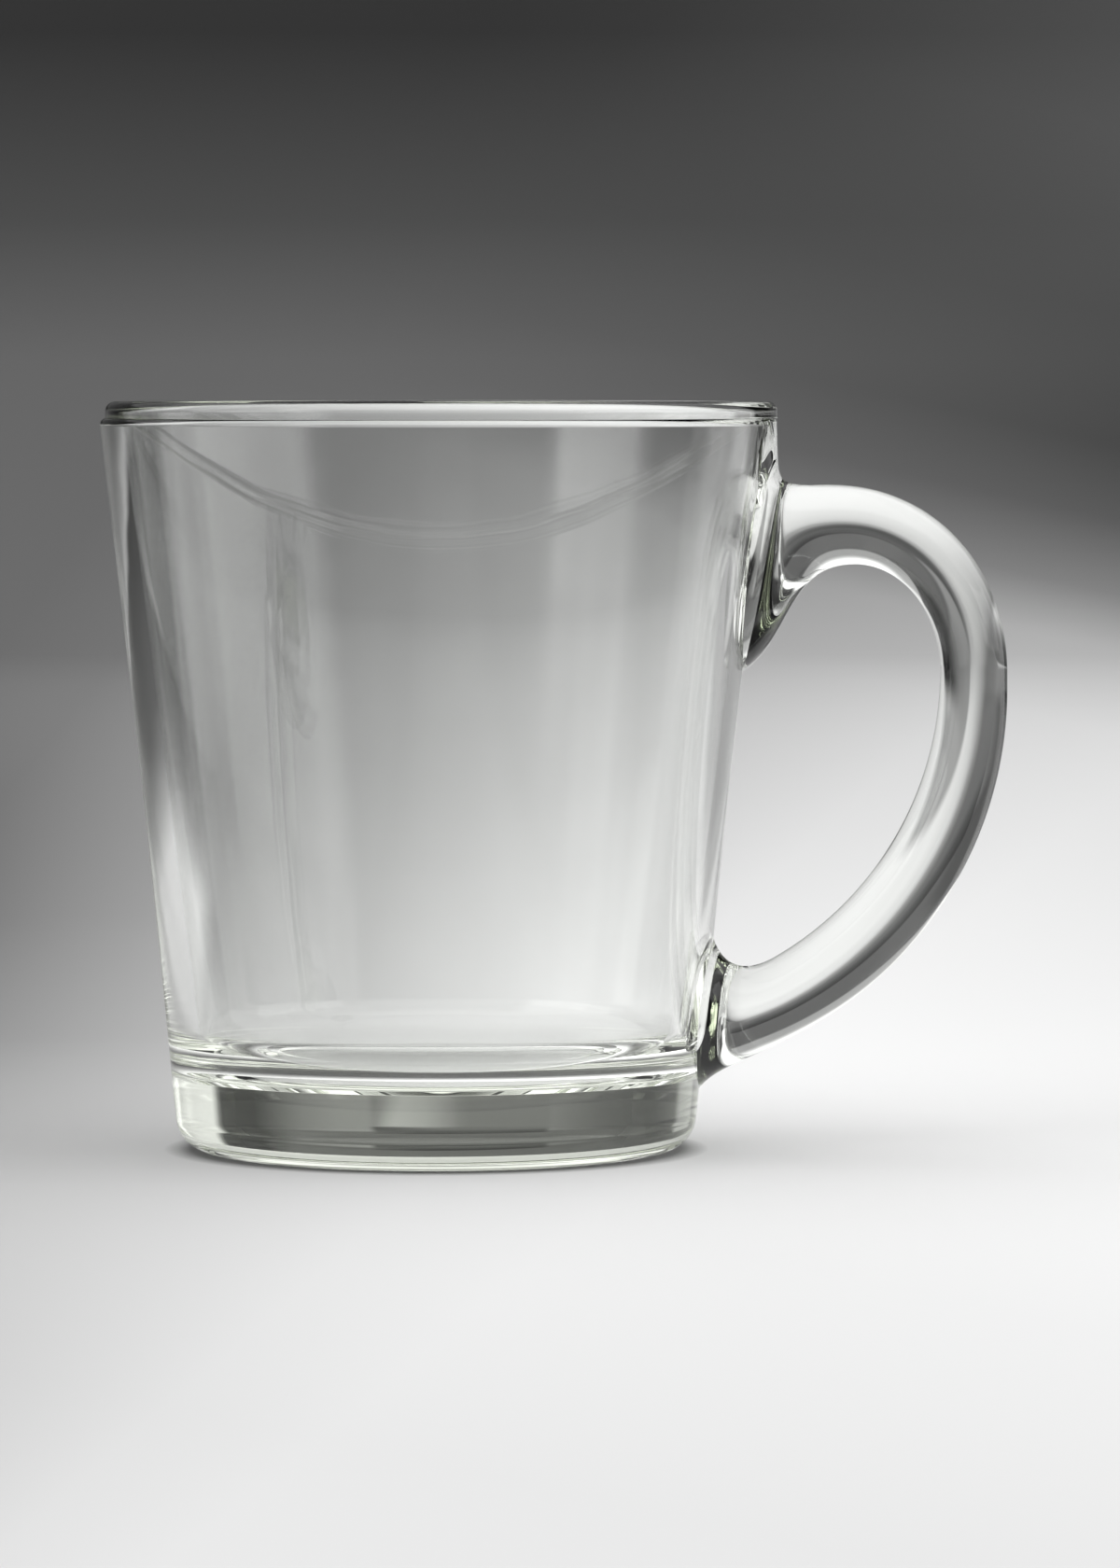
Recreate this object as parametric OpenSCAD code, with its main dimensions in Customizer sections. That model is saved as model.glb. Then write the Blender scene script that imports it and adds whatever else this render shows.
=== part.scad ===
// Pressed glass coffee mug: a tapered bowl on a thick solid base, with a round-rod handle.
// Millimetres, +Z up. The origin is on the bowl's axis, in the plane that the foot stands on.
// The handle reaches out along +X.

/* [Bowl] */
// Height of the mug from the table to the rim
mug_height = 95.8; // [86:0.1:110]
// Outer diameter of the wall just under the rim
rim_diameter = 86; // [80:0.5:94]
// Outer diameter of the wall at the height where its taper eases
waist_diameter = 73.4; // [70:0.2:77]
// Height at which the wall's taper eases
waist_height = 38.5; // [30:0.5:46]
// Outer diameter of the base, measured where the wall's line meets the table
base_diameter = 66.1; // [62:0.1:70]
// Wall thickness at the rim
rim_wall = 2.2; // [1.5:0.1:3]
// Wall thickness at the level of the cup's floor
foot_wall = 3.4; // [2.6:0.1:5]
// Thickness of the solid base under the cup's floor
base_thickness = 10.1; // [7:0.1:14]
// Radius between the inside wall and the floor
floor_fillet = 7; // [4:0.5:9]

/* [Rim] */
// Height of the smooth band that ends the rim
band_height = 2.1; // [1:0.1:3]
// How far the rim band sits off the bowl's axis, towards the handle
band_shift = 0.75; // [0:0.05:0.9]
// How far the inside of the cup sits off the bowl's axis, towards the handle
cavity_shift = 0.5; // [0:0.05:0.6]
// Radius that rolls the wall in under the rim band
shoulder_radius = 0.85; // [0.6:0.05:1.2]
// Rounding of the rim's outer edge
lip_outer_radius = 1.3; // [0.5:0.05:1.5]
// Rounding of the rim's inner edge
lip_inner_radius = 0.45; // [0.2:0.05:0.5]

/* [Foot] */
// Radius of the heel between the wall and the underside
heel_radius = 4.4; // [2.5:0.1:5]
// Width of the flat ring that the mug stands on
bearing_width = 4.2; // [3:0.1:6]
// Depth of the hollow under the base
punt_depth = 1.2; // [0.8:0.1:2]
// Width of the slope from the bearing ring up into the hollow
punt_slope_width = 3.5; // [2:0.1:5]
// Radius of the sunk round in the middle of the cup's floor
floor_round_radius = 23; // [18:0.5:24]
// Depth of that sunk round
floor_round_depth = 0.6; // [0.3:0.1:1]
// Width of the slope round its edge
floor_round_slope = 1.6; // [1:0.1:2.5]

/* [Handle] */
// Distance from the bowl's axis to the handle's outermost point
handle_reach = 73.2; // [66:0.1:80]
// Distance from the rim down to the top of the rod
handle_drop = 10.6; // [8:0.1:14]
// Height of the upper bend, from the rod's top to where its outer edge stands upright
bend_height = 24.6; // [20:0.1:28]
// Width of the upper bend along the rod's outer edge
bend_width = 22.9; // [19:0.1:24]
// Width of the upper bend along the rod's inner edge
inner_bend_width = 11; // [9:0.1:12]
// How much higher the inner edge stands upright than the outer one
inner_bend_rise = 0.7; // [0:0.1:3]
// Length of the straight upright run along the rod's outer edge
side_run = 1.7; // [0:0.1:4]
// Width of the long lower sweep along the rod's outer edge
sweep_width = 48.8; // [44:0.1:52]
// Width of the long lower sweep along the rod's inner edge
inner_sweep_width = 42.3; // [38:0.1:46]
// Height above the table that the outer sweep would reach at its lowest
sweep_floor = 9.5; // [8:0.1:12]
// Rod thickness at the top of the handle
rod_top_thickness = 10.2; // [8:0.1:12]
// Rod thickness at its outermost point
rod_side_thickness = 8.6; // [7:0.1:10]
// Rod thickness at the foot of the sweep
rod_low_thickness = 9.4; // [8:0.1:12]
// Width of the rod from side to side
rod_width = 11; // [9:0.1:13]

/* [Handle roots] */
// How far above the rim the upper root's top line aims, before the rim band cuts it off
upper_root_aim = 0.5; // [0:0.1:1]
// How far inside the rim band's outer edge that top line aims
upper_root_inset = 0.35; // [0.1:0.05:0.7]
// Distance from the rim down to the lowest point of the upper root
upper_root_drop = 34.8; // [30:0.1:38]
// Height of the lower root's lowest point above the table
lower_root_start = 7; // [5.5:0.1:9]
// Height of the lower root's highest point above the table
lower_root_end = 28.8; // [26:0.1:33]
// How much the roots spread on each side where they meet the wall
root_spread = 4.2; // [2:0.1:6]

/* [Hidden] */
$fn = 128;
glass_colour = [0.84, 0.89, 0.87, 0.45];

// Overrun of the shapes that only cut
cut_over = 2;
// How deep the handle's ends start inside the wall before they are trimmed to it
root_embed = 0.5;
// Angle up to which the lower sweep runs before the lower root begins
sweep_angle = 60;
// The rod's section lies between an ellipse, at 2, and a rectangle, and so does its outer bend
rod_squareness = 2.3;
bend_squareness = 2.1;
// Sides of the rod's section, and rings along each stretch of the handle
rod_sides = 36;
root_rings = 14;
bend_rings = 15;
sweep_rings = 17;
// Corners along each arc of the bowl's outline
arc_steps = 12;

// Where each root leaves the wall: shares of the way across and up to the rod
crown_lift_shares = [0.14, 1.05];
web_lift_shares = [0.46, 0.27];
fin_lift_shares = [0.16, 0.42];
crotch_lift_shares = [0.08, 1.2];
// How long each root runs straight on from the rod, as a share of its chord
crown_run_share = 0.63;
web_run_share = 0.44;
fin_run_share = 0.57;
crotch_run_share = 0.55;
// Share of a root's length over which its sides spread
upper_spread_share = 0.55;
lower_spread_share = 0.75;

rim_radius = rim_diameter / 2;
waist_radius = waist_diameter / 2;
base_radius = base_diameter / 2;
shoulder_top = mug_height - band_height;

upper_taper = (rim_radius - waist_radius) / (shoulder_top - waist_height);
lower_taper = (waist_radius - base_radius) / waist_height;

// Outer radius of the wall at height z
function wall_radius(z) = z > waist_height
    ? waist_radius + upper_taper * (z - waist_height)
    : base_radius + lower_taper * z;

// Inner radius of the cup at height z, above its floor fillet
inner_foot_radius = wall_radius(base_thickness) - foot_wall;
inner_rim_radius = wall_radius(shoulder_top) - rim_wall;
inner_taper = (inner_rim_radius - inner_foot_radius) / (shoulder_top - base_thickness);
function inner_radius(z) = inner_foot_radius + inner_taper * (z - base_thickness);

// Points of an arc about a centre, from one angle to another
function arc(centre, radius, from, to) = [
    for (i = [0:arc_steps])
        let (a = from + (to - from) * i / arc_steps)
            centre + radius * [cos(a), sin(a)]
];

heel_lean = atan(lower_taper);
heel_run = heel_radius / tan((90 + heel_lean) / 2);
heel_centre = [base_radius - heel_run, heel_radius];
bearing_inner = heel_centre[0] - bearing_width;
punt_radius = bearing_inner - punt_slope_width;
shoulder_lean = atan(upper_taper);
shoulder_centre = [
    wall_radius(shoulder_top - shoulder_radius) - shoulder_radius,
    shoulder_top - shoulder_radius
];

fillet_lean = atan(inner_taper);
fillet_run = floor_fillet / tan((90 + fillet_lean) / 2);
fillet_centre = [inner_foot_radius - fillet_run, base_thickness + floor_fillet];
lip_corner = [inner_radius(mug_height - lip_inner_radius), mug_height - lip_inner_radius];

// Outline of the whole outside of the bowl, up to the rim band
module outside_outline() {
    polygon(concat(
        [[0, punt_depth], [punt_radius, punt_depth], [bearing_inner, 0]],
        arc(heel_centre, heel_radius, -90, -heel_lean),
        [[waist_radius, waist_height]],
        arc(shoulder_centre, shoulder_radius, -shoulder_lean, 90),
        [[0, shoulder_top]]
    ));
}

// Outline of the rim band with its rounded outer edge
module band_outline() {
    polygon(concat(
        [[0, shoulder_top - shoulder_radius], [shoulder_centre[0], shoulder_top - shoulder_radius]],
        [[rim_radius, shoulder_top]],
        arc([rim_radius - lip_outer_radius, mug_height - lip_outer_radius], lip_outer_radius, 0, 90),
        [[0, mug_height]]
    ));
}

// Outline of the inside, with the floor's sunk round and the rounded inner edge of the lip
module inside_outline() {
    polygon(concat(
        [[0, base_thickness - floor_round_depth]],
        [[floor_round_radius - floor_round_slope, base_thickness - floor_round_depth]],
        [[floor_round_radius, base_thickness]],
        arc(fillet_centre, floor_fillet, -90, -fillet_lean),
        arc(lip_corner + [lip_inner_radius, 0], lip_inner_radius, 180, 90),
        [[lip_corner[0] + lip_inner_radius, mug_height + cut_over]],
        [[0, mug_height + cut_over]]
    ));
}

// The bowl's outside as if it were solid glass
module solid_bowl() {
    rotate_extrude() outside_outline();
    translate([band_shift, 0, 0]) rotate_extrude() band_outline();
}

module bowl() {
    color(glass_colour)
        difference() {
            solid_bowl();
            translate([cavity_shift, 0, 0]) rotate_extrude() inside_outline();
        }
}

rod_top = mug_height - handle_drop;
bend_start = handle_reach - bend_width;
side_height = rod_top - bend_height;
sweep_height = side_height - side_run;
inner_reach = handle_reach - rod_side_thickness;
inner_top = rod_top - rod_top_thickness;
inner_side_height = side_height + inner_bend_rise;
inner_bend_start = inner_reach - inner_bend_width;
sweep_centre = handle_reach - sweep_width;
inner_sweep_centre = inner_reach - inner_sweep_width;
inner_sweep_floor = sweep_floor + rod_low_thickness;

// The rod's outer and inner edges: a quarter ellipse at the top, then a long elliptical sweep
function outer_bend(a) = [
    bend_start + bend_width * pow(cos(a), 2 / bend_squareness),
    side_height + bend_height * pow(sin(a), 2 / bend_squareness)
];
function inner_bend(a) = [
    inner_bend_start + inner_bend_width * cos(a),
    inner_side_height + (inner_top - inner_side_height) * sin(a)
];
function outer_sweep(a) = [
    sweep_centre + sweep_width * cos(a),
    sweep_height - (sweep_height - sweep_floor) * sin(a)
];
function inner_sweep(a) = [
    inner_sweep_centre + inner_sweep_width * cos(a),
    inner_side_height - (inner_side_height - inner_sweep_floor) * sin(a)
];

// Directions in which the rod's edges come in to the lower root
function unit(v) = v / norm(v);
outer_sweep_way = unit([
    sweep_width * sin(sweep_angle),
    (sweep_height - sweep_floor) * cos(sweep_angle)
]);
inner_sweep_way = unit([
    inner_sweep_width * sin(sweep_angle),
    (inner_side_height - inner_sweep_floor) * cos(sweep_angle)
]);

function start_in_wall(z) = [wall_radius(z) - root_embed, z];

// A root's edge: a cubic curve from a point in the wall to the rod's edge, met along its way
function root_edge(t, from, lift_shares, to, way, run_share) =
    let (
        lift = from + [lift_shares[0] * (to - from)[0], lift_shares[1] * (to - from)[1]],
        run = to - way * run_share * norm(to - from)
    )
    from * pow(1 - t, 3)
        + lift * 3 * t * pow(1 - t, 2)
        + run * 3 * t * t * (1 - t)
        + to * pow(t, 3);

crown_start = [rim_radius + band_shift - upper_root_inset, mug_height + upper_root_aim];
function crown_edge(t) = root_edge(t, crown_start,
    crown_lift_shares, outer_bend(90), [1, 0], crown_run_share);
function web_edge(t) = root_edge(t, start_in_wall(mug_height - upper_root_drop),
    web_lift_shares, inner_bend(90), [1, 0], web_run_share);
function fin_edge(t) = root_edge(t, start_in_wall(lower_root_start),
    fin_lift_shares, outer_sweep(sweep_angle), outer_sweep_way, fin_run_share);
function crotch_edge(t) = root_edge(t, start_in_wall(lower_root_end),
    crotch_lift_shares, inner_sweep(sweep_angle), inner_sweep_way, crotch_run_share);

// How far a root's sides are spread at t, from 1 in the wall to 0 on the plain rod
function spread(t, share) = t < share ? pow(1 - t / share, 3) : 0;

// The handle's rings: outer edge, inner edge, half width and how far it wraps round the wall
function upper_root_ring(t) = [
    crown_edge(t), web_edge(t),
    rod_width / 2 + root_spread * spread(t, upper_spread_share),
    pow(1 - t, 2)
];
function lower_root_ring(t) = [
    fin_edge(t), crotch_edge(t),
    rod_width / 2 + root_spread * spread(t, lower_spread_share),
    pow(1 - t, 2)
];

// A root's first ring moved on into the wall, so that the whole end is trimmed to it
function inward(ring) = [
    ring[0] - [root_embed, 0], ring[1] - [root_embed, 0], ring[2], ring[3]
];
rings = concat(
    [inward(upper_root_ring(0))],
    [for (i = [0:root_rings - 1]) upper_root_ring(i / root_rings)],
    [for (i = [0:bend_rings - 1]) let (a = 90 - 90 * i / bend_rings)
        [outer_bend(a), inner_bend(a), rod_width / 2, 0]],
    [for (i = [0:sweep_rings - 1]) let (a = sweep_angle * i / sweep_rings)
        [outer_sweep(a), inner_sweep(a), rod_width / 2, 0]],
    [for (i = [0:root_rings]) lower_root_ring(1 - i / root_rings)],
    [inward(lower_root_ring(0))]
);

// A superellipse's cosine or sine
function squared(s) = sign(s) * pow(abs(s), 2 / rod_squareness);

// Points of one ring. Its sides follow the round wall as far as the ring wraps it
function ring_points(ring) =
    let (
        middle = (ring[0] + ring[1]) / 2,
        rise = (ring[0] - ring[1]) / 2
    )
    [
        for (i = [0:rod_sides - 1])
            let (
                a = 360 * i / rod_sides,
                p = middle + rise * squared(cos(a)),
                y = ring[2] * squared(sin(a)),
                r = wall_radius(p[1]),
                sag = r - sqrt(r * r - y * y)
            )
            [p[0] - ring[3] * sag, y, p[1]]
    ];

rod_points = [for (ring = rings) each ring_points(ring)];
last_ring = len(rings) - 1;

// Two triangles for each side between two rings, and a fan over each end
rod_faces = concat(
    [for (k = [0:last_ring - 1], i = [0:rod_sides - 1])
        let (j = (i + 1) % rod_sides)
            [k * rod_sides + i, k * rod_sides + j, (k + 1) * rod_sides + j]],
    [for (k = [0:last_ring - 1], i = [0:rod_sides - 1])
        let (j = (i + 1) % rod_sides)
            [k * rod_sides + i, (k + 1) * rod_sides + j, (k + 1) * rod_sides + i]],
    [for (i = [1:rod_sides - 2]) [0, i + 1, i]],
    [for (i = [1:rod_sides - 2])
        [last_ring * rod_sides, last_ring * rod_sides + i, last_ring * rod_sides + i + 1]]
);

// The handle is trimmed to the bowl's wall, and under the overhang of its rim band
module handle() {
    color(glass_colour)
        difference() {
            polyhedron(points = rod_points, faces = rod_faces, convexity = 6);
            solid_bowl();
            translate([0, 0, shoulder_top]) cylinder(r = handle_reach, h = mug_height);
        }
}

bowl();
handle();
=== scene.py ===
# Looks of a pressed glass coffee mug on a pale table.
# Metres, +Z up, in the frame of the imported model: the origin is under the bowl's axis, on the
# table, and the handle reaches out along +X.
import math

import bpy
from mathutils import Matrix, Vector
from mathutils.geometry import delaunay_2d_cdt


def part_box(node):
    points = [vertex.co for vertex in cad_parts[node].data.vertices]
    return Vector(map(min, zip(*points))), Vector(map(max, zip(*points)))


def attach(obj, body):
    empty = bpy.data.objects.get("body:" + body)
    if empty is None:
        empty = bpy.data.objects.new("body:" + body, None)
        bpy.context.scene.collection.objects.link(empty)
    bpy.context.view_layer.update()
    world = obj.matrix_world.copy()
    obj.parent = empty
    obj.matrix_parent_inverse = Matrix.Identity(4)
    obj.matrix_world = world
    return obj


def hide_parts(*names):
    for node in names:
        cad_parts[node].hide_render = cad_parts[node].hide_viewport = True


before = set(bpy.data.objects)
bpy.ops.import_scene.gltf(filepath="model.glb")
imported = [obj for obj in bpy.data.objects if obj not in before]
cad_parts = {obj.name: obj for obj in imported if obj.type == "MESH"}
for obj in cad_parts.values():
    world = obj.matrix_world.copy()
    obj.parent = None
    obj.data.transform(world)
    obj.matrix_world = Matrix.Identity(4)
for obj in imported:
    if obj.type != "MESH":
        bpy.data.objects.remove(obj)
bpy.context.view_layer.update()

MM = 0.001

# Bowl, with its height and the handle's reach taken from the frame
MUG_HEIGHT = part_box("bowl")[1][2]
RIM_RADIUS = 43 * MM
WAIST_RADIUS = 36.7 * MM
WAIST_HEIGHT = 38.5 * MM
BASE_RADIUS = 33.05 * MM
RIM_WALL = 2.2 * MM
FOOT_WALL = 3.4 * MM
BASE_THICKNESS = 10.1 * MM
FLOOR_FILLET = 7 * MM
WAIST_BLEND = 1200 * MM

# Rim
BAND_HEIGHT = 2.1 * MM
BAND_SHIFT = 0.75 * MM
CAVITY_SHIFT = 0.5 * MM
BAND_EDGE = 0.05 * MM
SHOULDER_RADIUS = 0.85 * MM
LIP_OUTER_RADIUS = 1.3 * MM
LIP_INNER_RADIUS = 0.45 * MM

# Foot and floor
HEEL_RADIUS = 4.4 * MM
BEARING_WIDTH = 4.2 * MM
BEARING_EDGE = 0.8 * MM
PUNT_DEPTH = 1.2 * MM
PUNT_SLOPE_WIDTH = 3.5 * MM
PUNT_BLEND = 2 * MM
FLOOR_ROUND_RADIUS = 23 * MM
FLOOR_ROUND_DEPTH = 0.6 * MM
FLOOR_ROUND_SLOPE = 1.6 * MM
FLOOR_ROUND_BLEND = 0.8 * MM

# Handle
HANDLE_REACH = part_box("handle")[1][0]
HANDLE_DROP = 10.6 * MM
BEND_HEIGHT = 24.6 * MM
BEND_WIDTH = 22.9 * MM
INNER_BEND_WIDTH = 11 * MM
INNER_BEND_RISE = 0.7 * MM
SIDE_RUN = 1.7 * MM
SWEEP_WIDTH = 48.8 * MM
INNER_SWEEP_WIDTH = 42.3 * MM
SWEEP_FLOOR = 9.5 * MM
ROD_TOP_THICKNESS = 10.2 * MM
ROD_SIDE_THICKNESS = 8.6 * MM
ROD_LOW_THICKNESS = 9.4 * MM
ROD_HALF_WIDTH = 5.5 * MM
ROD_SQUARENESS = 2.3
BEND_SQUARENESS = 2.1
SWEEP_ANGLE = math.radians(60)

# Handle roots
UPPER_ROOT_AIM = 0.5 * MM
UPPER_ROOT_INSET = 0.35 * MM
UPPER_ROOT_DROP = 34.8 * MM
LOWER_ROOT_START = 7 * MM
LOWER_ROOT_END = 28.8 * MM
ROOT_SPREAD = 4.2 * MM
ROOT_EMBED = 0.5 * MM
CROWN_LIFT_SHARES = (0.14, 1.05)
WEB_LIFT_SHARES = (0.46, 0.27)
FIN_LIFT_SHARES = (0.16, 0.42)
CROTCH_LIFT_SHARES = (0.08, 1.2)
CROWN_RUN_SHARE = 0.63
WEB_RUN_SHARE = 0.44
FIN_RUN_SHARE = 0.57
CROTCH_RUN_SHARE = 0.55
UPPER_SPREAD_SHARE = 0.55
LOWER_SPREAD_SHARE = 0.75

# Meshes: the bowl's columns, the longest step along its outline, and the rod's sides and rings
COLUMNS = 288
OUTLINE_STEP = 1.3 * MM
ARC_STEP = math.radians(8)
ROD_SIDES = 112
ROOT_RINGS = 44
BEND_RINGS = 44
SWEEP_RINGS = 52
ROOT_RING_CROWDING = 1.3
ROOT_RUN_IN = 2 * MM
WELD_GAP = 0.004 * MM
HAIR = 0.01 * MM
TOUCH = 0.001 * MM

# The search for a weld's corners: places tried along a root, in steps of its length, and halvings
WELD_STEPS = 40
WELD_TRIES = range(-12, 24)
HALVINGS = 40

# The window of the bowl's wall round the welds, with its margin and the least distance between
# its own corners and theirs, in rows and columns
WINDOW_MARGIN = 3
WINDOW_CLEARANCE = 0.35

# The photograph's view, its picture 1200 by 1680
PICTURE_HEIGHT_PX = 1680
PICTURE_CENTRE_Y_PX = 840
HORIZON_Y_PX = 395
FOCAL_LENGTH_PX = 8370
SENSOR_MM = 36
CAMERA_DISTANCE = 1000 * MM
CAMERA_HEIGHT = 100 * MM
CAMERA_SIDE = 15.9 * MM


def lerp(a, b, share):
    return a + (b - a) * share


def wall_radius(z):
    """Outer radius of the bowl's wall at height z."""
    if z > WAIST_HEIGHT:
        share = (z - WAIST_HEIGHT) / (MUG_HEIGHT - BAND_HEIGHT - WAIST_HEIGHT)
        return lerp(WAIST_RADIUS, RIM_RADIUS, share)
    return lerp(BASE_RADIUS, WAIST_RADIUS, z / WAIST_HEIGHT)


SHOULDER_TOP = MUG_HEIGHT - BAND_HEIGHT
INNER_FOOT_RADIUS = wall_radius(BASE_THICKNESS) - FOOT_WALL
INNER_RIM_RADIUS = wall_radius(SHOULDER_TOP) - RIM_WALL


def inner_radius(z):
    """Inner radius of the cup at height z, above its floor fillet."""
    share = (z - BASE_THICKNESS) / (SHOULDER_TOP - BASE_THICKNESS)
    return lerp(INNER_FOOT_RADIUS, INNER_RIM_RADIUS, share)


class Station:
    """A place on the bowl's outline: radius, height, sideways shift of its circle, and normal."""

    def __init__(self, place, way, shift):
        self.radius, self.height = place
        self.shift = shift
        self.normal = Vector((way.y, -way.x)).normalized()


def outline(corners, shift):
    """Stations along a line through corners (radius, height, rounding), each rounded by an arc."""
    stations = []
    places = [Vector(corner[:2]) for corner in corners]
    last = places[0]
    for i, place in enumerate(places[1:], 1):
        way = (place - last).normalized()
        if i == len(places) - 1:
            run_end = place
        else:
            onward = (places[i + 1] - place).normalized()
            half = math.pi / 2 - way.angle(onward) / 2
            rounding = corners[i][2]
            run_end = place - way * rounding / math.tan(half)
        steps = max(1, math.ceil((run_end - last).length / OUTLINE_STEP))
        for k in range(steps + 1):
            stations.append(Station(last.lerp(run_end, k / steps), way, shift))
        if i == len(places) - 1:
            break
        turn = math.pi - 2 * half
        centre = place + (onward - way).normalized() * rounding / math.sin(half)
        arm_in = run_end - centre
        arm_out = place + onward * rounding / math.tan(half) - centre
        steps = max(2, math.ceil(turn / ARC_STEP), math.ceil(turn * rounding / OUTLINE_STEP))
        for k in range(1, steps):
            share_in = math.sin((1 - k / steps) * turn) / math.sin(turn)
            share_out = math.sin(k / steps * turn) / math.sin(turn)
            here = centre + arm_in * share_in + arm_out * share_out
            stations.append(Station(here, way * share_in + onward * share_out, shift))
        last = centre + arm_out
    return stations


def bowl_outline():
    """The whole outline, from the middle of the underside round the rim to the cup's floor."""
    heel_lean = math.atan2(WAIST_RADIUS - BASE_RADIUS, WAIST_HEIGHT)
    heel_run = HEEL_RADIUS / math.tan((math.pi / 2 + heel_lean) / 2)
    bearing_inner = BASE_RADIUS - heel_run - BEARING_WIDTH
    shoulder_lean = math.atan2(RIM_RADIUS - WAIST_RADIUS, SHOULDER_TOP - WAIST_HEIGHT)
    notch = RIM_RADIUS - SHOULDER_RADIUS / math.tan((math.pi / 2 - shoulder_lean) / 2)
    sunk = BASE_THICKNESS - FLOOR_ROUND_DEPTH
    outside = outline([
        (0, PUNT_DEPTH),
        (bearing_inner - PUNT_SLOPE_WIDTH, PUNT_DEPTH, PUNT_BLEND),
        (bearing_inner, 0, BEARING_EDGE),
        (BASE_RADIUS, 0, HEEL_RADIUS),
        (WAIST_RADIUS, WAIST_HEIGHT, WAIST_BLEND),
        (RIM_RADIUS, SHOULDER_TOP, SHOULDER_RADIUS),
        (notch, SHOULDER_TOP),
    ], 0)
    band = outline([
        (notch, SHOULDER_TOP),
        (RIM_RADIUS, SHOULDER_TOP, BAND_EDGE),
        (RIM_RADIUS, MUG_HEIGHT, LIP_OUTER_RADIUS),
        (RIM_RADIUS - LIP_OUTER_RADIUS - HAIR, MUG_HEIGHT),
    ], BAND_SHIFT)
    inside = outline([
        (inner_radius(MUG_HEIGHT) + LIP_INNER_RADIUS + HAIR, MUG_HEIGHT),
        (inner_radius(MUG_HEIGHT), MUG_HEIGHT, LIP_INNER_RADIUS),
        (INNER_FOOT_RADIUS, BASE_THICKNESS, FLOOR_FILLET),
        (FLOOR_ROUND_RADIUS, BASE_THICKNESS, FLOOR_ROUND_BLEND),
        (FLOOR_ROUND_RADIUS - FLOOR_ROUND_SLOPE, sunk, FLOOR_ROUND_BLEND),
        (0, sunk),
    ], CAVITY_SHIFT)
    return outside, band, inside


OUTSIDE, BAND, INSIDE = bowl_outline()
STATIONS = OUTSIDE + BAND[1:] + INSIDE
NOTCH = len(OUTSIDE) - 1
BAND_FOOT = NOTCH + next(
    k for k, station in enumerate(BAND) if station.height > SHOULDER_TOP
)
WALL_START = next(k for k, s in enumerate(STATIONS) if s.height > HEEL_RADIUS)


def on_bowl(row, column):
    """The point of the bowl's surface at a row and column, either of which may be a fraction."""
    k = min(int(row), len(STATIONS) - 2)
    low, high = STATIONS[k], STATIONS[k + 1]
    radius = lerp(low.radius, high.radius, row - k)
    turn = math.tau * column / COLUMNS
    return Vector((
        lerp(low.shift, high.shift, row - k) + radius * math.cos(turn),
        radius * math.sin(turn),
        lerp(low.height, high.height, row - k),
    ))


def bowl_normal(row, column):
    """The surface's outward normal there."""
    k = min(int(row), len(STATIONS) - 2)
    normal = STATIONS[k].normal.lerp(STATIONS[k + 1].normal, row - k)
    turn = math.tau * column / COLUMNS
    return Vector((normal.x * math.cos(turn), normal.x * math.sin(turn), normal.y)).normalized()


def row_where(test, low, high):
    """The row, or other number, between two others where a test stops being true."""
    for _ in range(HALVINGS):
        middle = (low + high) / 2
        if test(middle):
            low = middle
        else:
            high = middle
    return (low + high) / 2


def place_on_bowl(point):
    """The row and column of a point of the outer wall or of the rim band's underside."""
    if point.z < SHOULDER_TOP - TOUCH:
        row = row_where(lambda r: on_bowl(r, 0).z < point.z, WALL_START, NOTCH)
        return row, math.atan2(point.y, point.x) / math.tau * COLUMNS

    def outside_circle(row):
        low, high = STATIONS[int(row)], STATIONS[int(row) + 1]
        shift = lerp(low.shift, high.shift, row - int(row))
        radius = lerp(low.radius, high.radius, row - int(row))
        return math.hypot(point.x - shift, point.y) > radius

    row = row_where(outside_circle, NOTCH, BAND_FOOT - 1)
    shift = lerp(STATIONS[int(row)].shift, STATIONS[int(row) + 1].shift, row - int(row))
    return row, math.atan2(point.y, point.x - shift) / math.tau * COLUMNS


class MeshMaker:
    """Collects points, faces and a normal for each corner, and makes a mesh of them."""

    def __init__(self):
        self.points, self.index = [], {}
        self.faces, self.normals, self.welds = [], [], []

    def point(self, key, place):
        if key not in self.index:
            self.index[key] = len(self.points)
            self.points.append(place)
        return self.index[key]

    def face(self, corners, normals, weld=0.0):
        self.faces.append(corners)
        self.normals.extend(normals)
        self.welds.append(weld)

    def build(self, name):
        mesh = bpy.data.meshes.new(name)
        mesh.from_pydata(self.points, [], self.faces)
        mesh.attributes.new("weld", "FLOAT", "FACE").data.foreach_set("value", self.welds)
        mesh.shade_smooth()
        mesh.normals_split_custom_set(self.normals)
        piece = bpy.data.objects.new(name, mesh)
        bpy.context.scene.collection.objects.link(piece)
        return piece


# The rod's outer and inner edges, as points (x, z) in the handle's middle plane
ROD_TOP = MUG_HEIGHT - HANDLE_DROP
SIDE_HEIGHT = ROD_TOP - BEND_HEIGHT
SWEEP_HEIGHT = SIDE_HEIGHT - SIDE_RUN
INNER_REACH = HANDLE_REACH - ROD_SIDE_THICKNESS
INNER_TOP = ROD_TOP - ROD_TOP_THICKNESS
INNER_SIDE_HEIGHT = SIDE_HEIGHT + INNER_BEND_RISE
INNER_SWEEP_FLOOR = SWEEP_FLOOR + ROD_LOW_THICKNESS


def squared(value, squareness):
    """A superellipse's cosine or sine."""
    return math.copysign(abs(value) ** (2 / squareness), value)


def outer_bend(angle):
    return Vector((
        HANDLE_REACH - BEND_WIDTH + BEND_WIDTH * squared(math.cos(angle), BEND_SQUARENESS),
        SIDE_HEIGHT + BEND_HEIGHT * squared(math.sin(angle), BEND_SQUARENESS),
    ))


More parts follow.
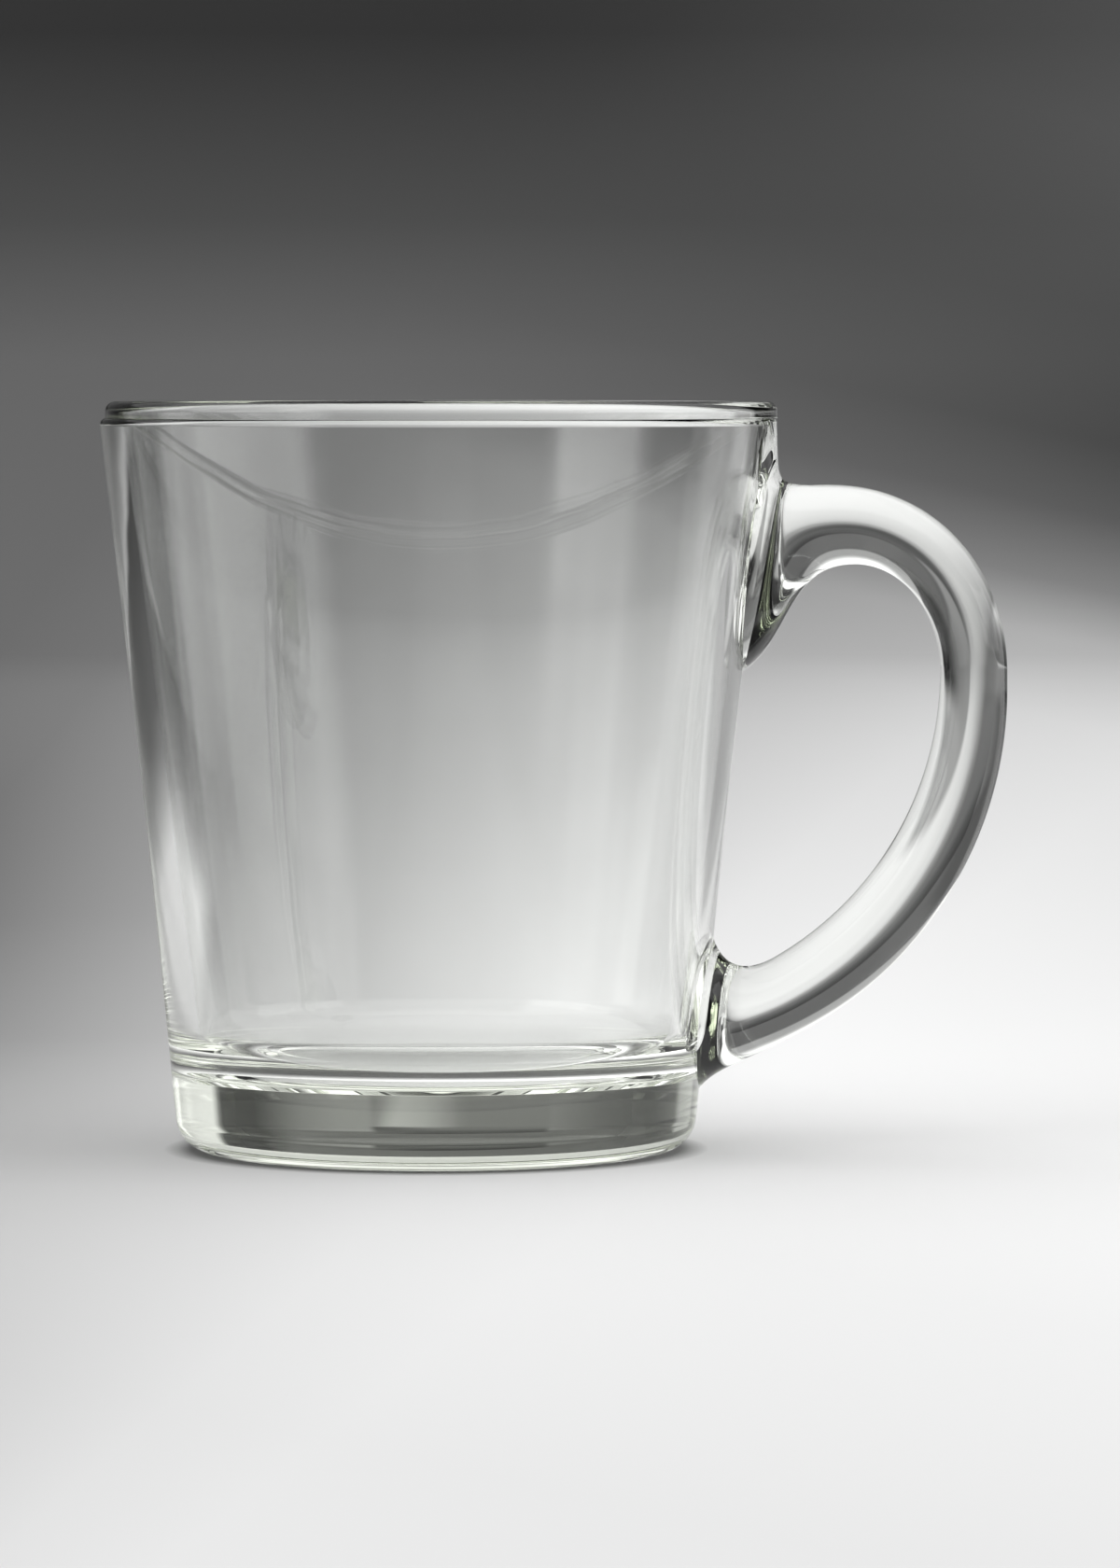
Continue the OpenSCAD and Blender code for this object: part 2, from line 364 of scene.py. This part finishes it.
def inner_bend(angle):
    return Vector((
        INNER_REACH - INNER_BEND_WIDTH + INNER_BEND_WIDTH * math.cos(angle),
        INNER_SIDE_HEIGHT + (INNER_TOP - INNER_SIDE_HEIGHT) * math.sin(angle),
    ))


def outer_sweep(angle):
    return Vector((
        HANDLE_REACH - SWEEP_WIDTH + SWEEP_WIDTH * math.cos(angle),
        SWEEP_HEIGHT - (SWEEP_HEIGHT - SWEEP_FLOOR) * math.sin(angle),
    ))


def inner_sweep(angle):
    return Vector((
        INNER_REACH - INNER_SWEEP_WIDTH + INNER_SWEEP_WIDTH * math.cos(angle),
        INNER_SIDE_HEIGHT - (INNER_SIDE_HEIGHT - INNER_SWEEP_FLOOR) * math.sin(angle),
    ))


ALONG = Vector((1, 0))
OUTER_SWEEP_WAY = Vector((
    SWEEP_WIDTH * math.sin(SWEEP_ANGLE), (SWEEP_HEIGHT - SWEEP_FLOOR) * math.cos(SWEEP_ANGLE)
)).normalized()
INNER_SWEEP_WAY = Vector((
    INNER_SWEEP_WIDTH * math.sin(SWEEP_ANGLE),
    (INNER_SIDE_HEIGHT - INNER_SWEEP_FLOOR) * math.cos(SWEEP_ANGLE),
)).normalized()
CROWN_START = Vector((RIM_RADIUS + BAND_SHIFT - UPPER_ROOT_INSET, MUG_HEIGHT + UPPER_ROOT_AIM))


def start_in_wall(z):
    return Vector((wall_radius(z) - ROOT_EMBED, z))


def root_edge(t, start, lift_shares, end, way, run_share):
    """A root's edge: a cubic curve from a point in the wall to the rod's edge, met along its way."""
    across = end - start
    lift = start + Vector((lift_shares[0] * across.x, lift_shares[1] * across.y))
    run = end - way * run_share * across.length
    return (
        start * (1 - t) ** 3 + lift * 3 * t * (1 - t) ** 2
        + run * 3 * t * t * (1 - t) + end * t ** 3
    )


def upper_root(t):
    """The upper root's section at t: outer edge, inner edge, half width and wrap."""
    right = math.pi / 2
    spread = max(0, 1 - t / UPPER_SPREAD_SHARE) ** 3
    return (
        root_edge(t, CROWN_START, CROWN_LIFT_SHARES, outer_bend(right), ALONG, CROWN_RUN_SHARE),
        root_edge(t, start_in_wall(MUG_HEIGHT - UPPER_ROOT_DROP),
                  WEB_LIFT_SHARES, inner_bend(right), ALONG, WEB_RUN_SHARE),
        ROD_HALF_WIDTH + ROOT_SPREAD * spread,
        (1 - t) ** 2,
    )


def lower_root(t):
    """The lower root's section at t."""
    spread = max(0, 1 - t / LOWER_SPREAD_SHARE) ** 3
    return (
        root_edge(t, start_in_wall(LOWER_ROOT_START), FIN_LIFT_SHARES,
                  outer_sweep(SWEEP_ANGLE), OUTER_SWEEP_WAY, FIN_RUN_SHARE),
        root_edge(t, start_in_wall(LOWER_ROOT_END), CROTCH_LIFT_SHARES,
                  inner_sweep(SWEEP_ANGLE), INNER_SWEEP_WAY, CROTCH_RUN_SHARE),
        ROD_HALF_WIDTH + ROOT_SPREAD * spread,
        (1 - t) ** 2,
    )


def on_section(section, angle):
    """A point of a section's edge. Near the wall its sides wrap round with the wall."""
    outer, inner, half_width, wrap = section
    place = (outer + inner) / 2 + (outer - inner) / 2 * squared(math.cos(angle), ROD_SQUARENESS)
    y = half_width * squared(math.sin(angle), ROD_SQUARENESS)
    radius = wall_radius(place.y)
    sag = radius - math.sqrt(radius * radius - y * y)
    return Vector((place.x - wrap * sag, y, place.y))


def on_root(root, t, angle):
    """A point of a root's side. Below 0, t runs straight on into the wall."""
    if t >= 0:
        return on_section(root(t), angle)
    return on_section(root(0), angle) + Vector((t * ROOT_RUN_IN, 0, 0))


def in_bowl(point):
    if point.z >= SHOULDER_TOP:
        return True
    row = row_where(lambda r: on_bowl(r, 0).z < point.z, WALL_START, NOTCH)
    return math.hypot(point.x, point.y) < on_bowl(row, 0).x


def weld_start(root, angle):
    """Where along the root one of its lines comes out of the bowl."""
    tries = [i / WELD_STEPS for i in WELD_TRIES]
    inside = max(t for t in tries if in_bowl(on_root(root, t, angle)))
    return row_where(lambda t: in_bowl(on_root(root, t, angle)), inside, inside + 1 / WELD_STEPS)


def side_angle(i):
    return math.tau * i / ROD_SIDES


WELD_STARTS = {
    root: [weld_start(root, side_angle(i)) for i in range(ROD_SIDES)]
    for root in (upper_root, lower_root)
}
WELD_PLACES = {
    root: [place_on_bowl(on_root(root, t, side_angle(i))) for i, t in enumerate(starts)]
    for root, starts in WELD_STARTS.items()
}


def within(place, loop):
    """True if a place (row, column) is inside a closed loop of such places."""
    inside = False
    for (row_a, column_a), (row_b, column_b) in zip(loop, loop[1:] + loop[:1]):
        if (row_a > place[0]) != (row_b > place[0]):
            crossing = lerp(column_a, column_b, (place[0] - row_a) / (row_b - row_a))
            if place[1] < crossing:
                inside = not inside
    return inside


def weld_window():
    """The part of the outer wall round the handle's roots, as triangles of keyed corners.

    A key is (row, column) for a point of the bowl's grid and (root, i) for a weld's corner.
    Each triangle comes with the root whose weld it is in, or None.
    """
    places = [place for loop in WELD_PLACES.values() for place in loop]
    half = math.ceil(max(abs(column) for _, column in places)) + WINDOW_MARGIN
    first = math.floor(min(row for row, _ in places)) - WINDOW_MARGIN
    last = BAND_FOOT
    keys, spots, edges = [], [], []
    for root, loop in WELD_PLACES.items():
        base = len(keys)
        for i, place in enumerate(loop):
            keys.append((root, i))
            spots.append(Vector(place))
            edges.append((base + i, base + (i + 1) % ROD_SIDES))
    for row in range(first, last + 1):
        for column in range(-half, half + 1):
            spot = Vector((row, column))
            border = row in (first, last) or abs(column) == half
            crowded = any(
                (spot - other).length < WINDOW_CLEARANCE for other in spots[:2 * ROD_SIDES]
            )
            if border or not crowded:
                keys.append((row, column))
                spots.append(spot)
    flat, _, triangles, origins, _, _ = delaunay_2d_cdt(spots, edges, [], 0, 1e-7)
    result = []
    for triangle in triangles:
        middle = sum((flat[i] for i in triangle), Vector((0, 0))) / 3
        weld = next((r for r, loop in WELD_PLACES.items() if within(middle, loop)), None)
        a, b, c = (flat[i] for i in triangle)
        corners = [keys[origins[i][0]] for i in triangle]
        if (b - a).cross(c - a) > 0:
            corners.reverse()
        result.append((corners, weld))
    return result, half, first, last


WINDOW, WINDOW_HALF, WINDOW_FIRST, WINDOW_LAST = weld_window()


def place_of(key):
    """The row and column of a window's corner."""
    return WELD_PLACES[key[0]][key[1]] if key[0] in WELD_PLACES else key


def make_bowl():
    """The bowl: a surface of revolution whose rim band and cavity sit a little off its axis."""
    maker = MeshMaker()
    rows = len(STATIONS)

    def corner(row, column):
        if row in (0, rows - 1):
            return maker.point(row, on_bowl(row, 0))
        return maker.point((row, column % COLUMNS), on_bowl(row, column))

    for row in range(rows - 1):
        if STATIONS[row].radius == STATIONS[row + 1].radius and (
            STATIONS[row].height == STATIONS[row + 1].height
            and STATIONS[row].shift == STATIONS[row + 1].shift
        ):
            continue
        for column in range(COLUMNS):
            side = column if column < COLUMNS / 2 else column - COLUMNS
            if WINDOW_FIRST <= row < WINDOW_LAST and -WINDOW_HALF <= side < WINDOW_HALF:
                continue
            places = [(row, column), (row, column + 1), (row + 1, column + 1), (row + 1, column)]
            if row == 0:
                places.pop(1)
            elif row == rows - 2:
                places.pop(2)
            maker.face([corner(*p) for p in places], [bowl_normal(*p) for p in places])
    for keys, weld in WINDOW:
        places = [place_of(key) for key in keys]
        corners = []
        for key, place in zip(keys, places):
            corners.append(
                maker.point(key, on_bowl(*place)) if key[0] in WELD_PLACES else corner(*key)
            )
        maker.face(corners, [bowl_normal(*p) for p in places], float(weld is not None))
    return maker.build("glass_bowl")


def make_handle():
    """The handle: sections swept from the upper weld round to the lower one."""
    maker = MeshMaker()
    rings = []

    def lift(key):
        """A weld's corner, moved off the bowl by the weld's gap."""
        place = place_of(key)
        return on_bowl(*place) + bowl_normal(*place) * WELD_GAP

    def root_rings(root):
        rows = [[lift((root, i)) for i in range(ROD_SIDES)]]
        for k in range(1, ROOT_RINGS):
            share = (k / ROOT_RINGS) ** ROOT_RING_CROWDING
            rows.append([
                on_root(root, lerp(start, 1, share), side_angle(i))
                for i, start in enumerate(WELD_STARTS[root])
            ])
        return rows

    rings += root_rings(upper_root)
    for k in range(BEND_RINGS):
        angle = math.pi / 2 * (1 - k / BEND_RINGS)
        section = (outer_bend(angle), inner_bend(angle), ROD_HALF_WIDTH, 0)
        rings.append([on_section(section, side_angle(i)) for i in range(ROD_SIDES)])
    for k in range(SWEEP_RINGS + 1):
        angle = SWEEP_ANGLE * k / SWEEP_RINGS
        section = (outer_sweep(angle), inner_sweep(angle), ROD_HALF_WIDTH, 0)
        rings.append([on_section(section, side_angle(i)) for i in range(ROD_SIDES)])
    rings += root_rings(lower_root)[::-1]
    last = len(rings) - 1

    def key(ring, i):
        if ring == 0:
            return (upper_root, i % ROD_SIDES)
        if ring == last:
            return (lower_root, i % ROD_SIDES)
        return (ring, i % ROD_SIDES)

    def normal(ring, i):
        i %= ROD_SIDES
        on = rings[min(ring + 1, last)][i] - rings[max(ring - 1, 0)][i]
        round_it = rings[ring][(i + 1) % ROD_SIDES] - rings[ring][i - 1]
        return on.cross(round_it).normalized()

    for ring in range(last):
        for i in range(ROD_SIDES):
            places = [(ring, i), (ring + 1, i), (ring + 1, i + 1), (ring, i + 1)]
            corners = [maker.point(key(r, s), rings[r][s % ROD_SIDES]) for r, s in places]
            maker.face(corners, [normal(r, s) for r, s in places])
    for keys, weld in WINDOW:
        if weld is not None:
            keys = keys[::-1]
            corners = [
                maker.point(k if k[0] in WELD_PLACES else ("in", *k), lift(k)) for k in keys
            ]
            maker.face(corners, [-bowl_normal(*place_of(k)) for k in keys], 1.0)
    return maker.build("glass_handle")


class Value:
    """A socket of a shader. Arithmetic on it adds Math nodes."""

    def __init__(self, tree, socket=None):
        self.tree = tree
        self.socket = socket

    def node(self, kind, values=(), output=0, stops=(), **settings):
        """Adds a node: first its settings and a ramp's stops, then its sockets' values or links."""
        node = self.tree.nodes.new(kind)
        for name, setting in settings.items():
            setattr(node, name, setting)
        for i, (position, tone) in enumerate(stops):
            steps = node.color_ramp.elements
            step = steps[i] if i in (0, len(stops) - 1) else steps.new(position)
            step.position = position
            step.color = (tone, tone, tone, 1)
        for name, value in dict(values).items():
            if isinstance(value, Value):
                self.tree.links.new(value.socket, node.inputs[name])
            else:
                node.inputs[name].default_value = value
        return Value(self.tree, node.outputs[output] if node.outputs else None)

    def math(self, operation, *values):
        return self.node("ShaderNodeMath", dict(enumerate(values)), operation=operation)

    def __add__(self, other):
        return self.math("ADD", self, other)

    __radd__ = __add__

    def __sub__(self, other):
        return self.math("SUBTRACT", self, other)

    def __rsub__(self, other):
        return self.math("SUBTRACT", other, self)

    def __mul__(self, other):
        return self.math("MULTIPLY", self, other)

    __rmul__ = __mul__

    def __truediv__(self, other):
        return self.math("DIVIDE", self, other)

    def __rtruediv__(self, other):
        return self.math("DIVIDE", other, self)

    def smooth_step(self, low, high):
        """0 up to low and 1 from high on, smoothly between them."""
        return self.node(
            "ShaderNodeMapRange", {"Value": self, "From Min": low, "From Max": high},
            interpolation_type="SMOOTHSTEP",
        )

    def clamped(self, low, high):
        return self.node("ShaderNodeClamp", {"Value": self, "Min": low, "Max": high})

    def ramp(self, *stops):
        """A grey that runs evenly from stop to stop of (value, grey), and stays level past them."""
        low, high = stops[0][0], stops[-1][0]
        shares = [((value - low) / (high - low), grey) for value, grey in stops]
        return self.node("ShaderNodeValToRGB", {"Fac": (self - low) / (high - low)}, stops=shares)

    def parts(self):
        """The three numbers of a vector."""
        split = self.node("ShaderNodeSeparateXYZ", {0: self})
        return [Value(self.tree, out) for out in split.socket.node.outputs]


def new_material(name):
    material = bpy.data.materials.new(name)
    material.use_nodes = True
    material.node_tree.nodes.clear()
    return material, Value(material.node_tree)


# Glass: the relief of its skin, with the swells and finer grains in a metre, and its clearness
SKIN_RELIEF = 0.02 * MM
SWELLS_PER_METRE = 90
GRAINS_PER_METRE = 900
GRAIN_SHARE = 0.004
CLEARNESS = 0.985
SWELL_CLEARNESS = 0.01
GREEN_CLEARNESS = 0.005
GLASS_IOR = 1.52
DEPTH_COLOUR = (0.65, 0.88, 0.2, 1)
DEPTH_DENSITY = 2


def clear_glass(name):
    """Soda-lime glass: clear, a little green through its depth, with a fire-polished skin."""
    material, make = new_material(name)
    place = make.node("ShaderNodeTexCoord", output="Object")
    grain = make.node(
        "ShaderNodeTexNoise", {"Vector": place, "Scale": GRAINS_PER_METRE, "Detail": 2}
    )
    swell = make.node(
        "ShaderNodeTexNoise", {"Vector": place, "Scale": SWELLS_PER_METRE, "Detail": 1}
    )
    skin = make.node("ShaderNodeBump", {
        "Height": grain * GRAIN_SHARE + swell,
        "Strength": 1,
        "Distance": SKIN_RELIEF,
    })
    clear = CLEARNESS + SWELL_CLEARNESS * swell
    tint = make.node("ShaderNodeCombineColor", {
        "Red": clear,
        "Green": clear + GREEN_CLEARNESS,
        "Blue": clear,
    })
    body = make.node("ShaderNodeBsdfPrincipled", {
        "Base Color": tint,
        "Roughness": 0.0,
        "IOR": GLASS_IOR,
        "Transmission Weight": 1,
        "Normal": skin,
    })
    weld = make.node("ShaderNodeAttribute", output="Fac", attribute_name="weld")
    fused = make.node("ShaderNodeBsdfTransparent")
    surface = make.node("ShaderNodeMixShader", {0: weld, 1: body, 2: fused})
    depth = make.node(
        "ShaderNodeVolumeAbsorption", {"Color": DEPTH_COLOUR, "Density": DEPTH_DENSITY}
    )
    make.node("ShaderNodeOutputMaterial", {"Surface": surface, "Volume": depth})
    return material


# The table bends up into a backdrop behind the mug. In metres
TABLE_SIZE = 400
BACKDROP_DISTANCE = 2.04
BACKDROP_BEND = 0.3
BACKDROP_WIDTH = 2.9
BACKDROP_HEIGHT = 0.8
BEND_STEPS = 16

# Light that falls on the table and on the backdrop
TABLE_LIGHT = 1.2
BACKDROP_LIGHT = 0.5

# The room's tone outside the picture, in layers from the table up, with windows and dark sides.
# In the world these tones are the studio's light; on the table and the backdrop the same tones
# are painted light and shade: painted pools of window light and painted shade from the dark sides.
# Each layer gives the sine of the angle where it begins, then stops of a turn from the camera's
# side, in degrees and positive to the right, and a tone
ROOM_LAYERS = (
    (-1, (
        (-104, 0.95), (-40, 0.95), (-36, 0.72), (72, 0.7), (80, 0.2), (104, 0.2),
        (110, 0.95), (132, 0.95), (140, 0.4), (180, 0.4),
    )),
    (-0.052, (
        (-180, 0.32), (-168, 0.28), (-162, 0.23), (-157, 0.17), (-152, 0.12), (-145, 0.07),
        (-138, 0.03), (-135, 0.02), (-123, 0.02), (-119, 0.3), (-110, 0.3), (-106, 1.1),
        (-96, 1.1), (-91, 0.4), (-45, 0.2), (-35, 0.02), (35, 0.02), (50, 0.1), (70, 0.4),
        (88, 1.1), (118, 1.2), (122, 0.85), (134, 0.85), (137, 0.02), (149, 0.02),
        (152, 0.07), (160, 0.24), (167, 0.33), (180, 0.35),
    )),
    (0.07, (
        (-180, 0.12), (-150, 0.1), (-138, 0.05), (-134, 0.02), (-124, 0.02),
        (-121, 0.4), (-109, 0.4), (-106, 0), (-82, 0), (-76, 0.8), (-60, 0.7),
        (-55, 0.4), (40, 0.4), (45, 1.4), (56, 1.4), (60, 1), (74, 1.5), (78, 1.9),
        (106, 1.9), (109, 0.8), (134, 0.85), (137, 0.02), (151, 0.02), (158, 0.12),
        (180, 0.12),
    )),
    (0.174, (
        (-180, 0.12), (-148, 0.1), (-136, 0.05), (-123, 0.02), (-98, 0),
        (-92, 1.2), (-80, 1.4), (-77, 2.3), (-47, 2.3), (-42, 0.5), (-38, 0.05),
        (50, 0.1), (56, 1.8), (108, 1.8), (112, 0.7), (121, 0.85), (134, 0.85),
        (137, 0.02), (151, 0.02), (158, 0.12), (180, 0.12),
    )),
    (0.375, (
        (-180, 0.37), (-140, 0.4), (-132, 1.2), (-44, 1.2), (-38, 0.1), (38, 0.1),
        (44, 0.6), (92, 0.6), (96, 1), (136, 1), (142, 0.4), (180, 0.37),
    )),
)
LAYER_EDGE = 0.02

# The table behind the mug on the left, darker further back, on the table a painted shade where the
# light falls off: the sine of the angle down to it and a tone, then the turn and the sine where that
# gives way to the layers
FAR_TABLE = (
    (-0.185, 0.75), (-0.165, 0.58), (-0.15, 0.42), (-0.12, 0.22), (-0.1, 0.13), (-0.066, 0.08),
    (-0.052, 0.06),
)
FAR_TABLE_TURN = (-109, -104)
FAR_TABLE_TOP = (-0.056, -0.048)

# The light overhead, and the sine of the rise over which it begins
OVERHEAD_LIGHT = 1.4
OVERHEAD_RISE = (0.5, 0.7)

# The picture's tones, on the table and the backdrop behind the mug, are painted light and shade:
# pale where the studio's light falls, by the mug and to its right, and dark where it falls off, to
# the left and up the backdrop. Round the mug's foot they are lifted, painted light that offsets the
# shade the glass casts there. They are placed by near, which runs down the picture from -0.24 to
# 1.44, and by side, a sideways slope that runs across it from -0.07 to 0.07. The pale, lit tones
# slant, and the dark, shaded ones blend into them between two borders, each given by its side at
# a middle near and by how its side changes with near
NEAR_AT_HORIZON = 0.16
NEAR_PER_SLOPE = 8.4
NEAREST = 0.3
PAINTED_SHADE_TONES = (
    (-0.2, 0.04), (0, 0.09), (0.15, 0.17), (0.5, 0.22), (0.75, 0.1), (0.88, 0.13), (1.04, 0.48),
    (1.45, 0.35),
)
PAINTED_LIGHT_TONES = (
    (-0.1, 0.14), (0.1, 0.07), (0.24, 0.06), (0.32, 0.13), (0.4, 0.32), (0.46, 0.65),
    (0.55, 0.8), (0.8, 0.94), (1, 1.04), (1.2, 0.95), (1.5, 0.88),
)
PALE_SLANT = 1.83
PALE_SIDE = 0.07
SLANT_REACH = 0.084
BORDER_NEAR = 0.5
LEFT_BORDER = (-0.076, -0.094)
RIGHT_BORDER = (0.088, -0.146)
BLEND = ((0, 0), (0.1, 0.05), (0.5, 0.52), (0.8, 0.9), (1, 1))

# Where the picture's tones fade into the room's. Down to the end of a left run they go on further
# to the left
FADE_TOP = (-0.35, -0.27)
FADE_BOTTOM = (1.5, 1.56)
FADE_LEFT = (-0.1, -0.078)
FADE_RIGHT = (0.08, 0.1)
LEFT_RUN = 0.13
LEFT_RUN_END = (0.55, 0.7)

# A painted glow on the table under the glass base, standing in for light that the base hands on
# to it, as a share of the table's tone, and a painted shade under the heel. Each is given by stops
# of a distance from the axis and a share
PAINTED_UNDER_GLOW = ((25.5 * MM, 0.42), (29.5 * MM, 0))
HEEL_SHADE = ((25.5 * MM, 0), (29.5 * MM, 0.65), (31.5 * MM, 0.65), (35 * MM, 0))


def room_tone(turn, rise):
    """The room's tone at a turn from the camera's side and the sine of a rise."""
    tone = turn.ramp(*ROOM_LAYERS[0][1])
    for bottom, stops in ROOM_LAYERS[1:]:
        above = rise.smooth_step(bottom - LAYER_EDGE, bottom + LAYER_EDGE)
        tone = tone + (turn.ramp(*stops) - tone) * above
    far_left = (1 - turn.smooth_step(*FAR_TABLE_TURN)) * (1 - rise.smooth_step(*FAR_TABLE_TOP))
    return tone + (rise.ramp(*FAR_TABLE) - tone) * far_left


def turn_of(x, y):
    """How far a direction is turned from the camera's side, positive to the right, in degrees."""
    return x.math("ARCTAN2", x, 0 - y) * (180 / math.pi)


def picture_tone(near, side):
    """The picture's painted light and shade: shaded dark at its left and its top, lit pale at its
    right.
    """
    dark = near.ramp(*PAINTED_SHADE_TONES)
    slant = PALE_SLANT * (PALE_SIDE - side.clamped(-SLANT_REACH, SLANT_REACH))
    pale = (near + slant).ramp(*PAINTED_LIGHT_TONES)
    left, right = (
        middle + change * (near - BORDER_NEAR) for middle, change in (LEFT_BORDER, RIGHT_BORDER)
    )
    return dark + (pale - dark) * ((side - left) / (right - left)).ramp(*BLEND)


def in_picture(near, side):
    """1 where the picture's tones hold and 0 where the room's do."""
    left_run = LEFT_RUN * (1 - near.smooth_step(*LEFT_RUN_END))
    across = (side + left_run).smooth_step(*FADE_LEFT) * (1 - side.smooth_step(*FADE_RIGHT))
    return across * near.smooth_step(*FADE_TOP) * (1 - near.smooth_step(*FADE_BOTTOM))


def table_paper_painted_light():
    """Paper with painted light and shade: lit pale by the mug and to its right, shaded greyer to its
    left and up the backdrop.
    """
    material, make = new_material("table_paper_painted_light")
    x, y, z = make.node("ShaderNodeTexCoord", output="Object").parts()
    distance = (y + CAMERA_DISTANCE).clamped(NEAREST, TABLE_SIZE)
    near = NEAR_AT_HORIZON + NEAR_PER_SLOPE * (CAMERA_HEIGHT - z) / distance
    side = (x - CAMERA_SIDE) / distance
    tone = picture_tone(near, side)
    rise = z - MUG_HEIGHT / 2
    reach = rise.math("SQRT", x * x + y * y + rise * rise)
    # Outside the picture the room's tones are painted on: window light and dark sides as painted
    # light and shade
    room = room_tone(turn_of(x, y), rise / reach)
    upright = (1 - make.node("ShaderNodeNewGeometry", output="Normal").parts()[2]).clamped(0, 1)
    light = TABLE_LIGHT + (BACKDROP_LIGHT - TABLE_LIGHT) * upright
    radius = x.math("SQRT", x * x + y * y)
    shade = (room + (tone - room) * in_picture(near, side)) / light
    # Painted shade under the heel
    shade = shade * (1 - radius.ramp(*HEEL_SHADE))
    colour = make.node("ShaderNodeCombineColor", {"Red": shade, "Green": shade, "Blue": shade})
    # Painted glow under the glass base, an emission standing in for light passed through it
    under = tone * radius.ramp(*PAINTED_UNDER_GLOW)
    glow = make.node("ShaderNodeCombineColor", {"Red": under, "Green": under, "Blue": under})
    paper = make.node("ShaderNodeBsdfPrincipled", {
        "Base Color": colour,
        "Roughness": 1,
        "Specular IOR Level": 0,
        "Emission Color": glow,
        "Emission Strength": 1,
    })
    make.node("ShaderNodeOutputMaterial", {"Surface": paper})
    return material


def make_table():
    """The table, and the backdrop that it bends up into."""
    half = TABLE_SIZE / 2
    flat = [(-half, -half, 0), (half, -half, 0), (half, half, 0), (-half, half, 0)]
    profile = [(BACKDROP_DISTANCE, BACKDROP_HEIGHT)]
    for k in range(BEND_STEPS + 1):
        angle = math.pi / 2 * k / BEND_STEPS
        profile.append((
            BACKDROP_DISTANCE - BACKDROP_BEND * (1 - math.cos(angle)),
            BACKDROP_BEND * (1 - math.sin(angle)),
        ))
    edge = BACKDROP_WIDTH / 2
    raised = [(x, y, z) for y, z in profile for x in (-edge, edge)]
    faces = [(4 + 2 * k, 5 + 2 * k, 7 + 2 * k, 6 + 2 * k) for k in range(len(profile) - 1)]
    mesh = bpy.data.meshes.new("table")
    mesh.from_pydata(flat + raised, [], [(0, 1, 2, 3)] + faces)
    mesh.shade_smooth()
    mesh.materials.append(table_paper_painted_light())
    table = bpy.data.objects.new("table", mesh)
    bpy.context.scene.collection.objects.link(table)


def make_surroundings():
    """The studio: soft light overhead, and windows and dark sides round the table."""
    world = bpy.data.worlds.new("studio")
    bpy.context.scene.world = world
    world.use_nodes = True
    world.node_tree.nodes.clear()
    make = Value(world.node_tree)
    x, y, z = make.node("ShaderNodeTexCoord", output="Generated").parts()
    room = room_tone(turn_of(x, y), z)
    sky = room + (OVERHEAD_LIGHT - room) * z.smooth_step(*OVERHEAD_RISE)
    background = make.node("ShaderNodeBackground", {"Color": (1, 1, 1, 1), "Strength": sky})
    make.node("ShaderNodeOutputWorld", {"Surface": background})


def make_camera():
    data = bpy.data.cameras.new("camera")
    data.sensor_width = SENSOR_MM
    data.lens = FOCAL_LENGTH_PX / PICTURE_HEIGHT_PX * SENSOR_MM
    data.clip_start = 0.01
    data.clip_end = TABLE_SIZE
    camera = bpy.data.objects.new("camera", data)
    bpy.context.scene.collection.objects.link(camera)
    camera.location = (CAMERA_SIDE, -CAMERA_DISTANCE, CAMERA_HEIGHT)
    pitch = math.atan((PICTURE_CENTRE_Y_PX - HORIZON_Y_PX) / FOCAL_LENGTH_PX)
    camera.rotation_euler = (math.pi / 2 - pitch, 0, 0)
    bpy.context.scene.camera = camera


def set_light_paths():
    """Lets light bounce often enough inside the glass."""
    paths = bpy.context.scene.cycles
    paths.max_bounces = 32
    paths.glossy_bounces = 16
    paths.transmission_bounces = 24
    paths.transparent_max_bounces = 32


bowl = make_bowl()
bowl.data.materials.append(clear_glass("bowl_glass"))
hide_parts("bowl")
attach(bowl, "root")

handle = make_handle()
handle.data.materials.append(clear_glass("handle_glass"))
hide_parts("handle")
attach(handle, "root")

make_table()
make_surroundings()
make_camera()
set_light_paths()
bpy.context.scene.view_settings.view_transform = "Standard"
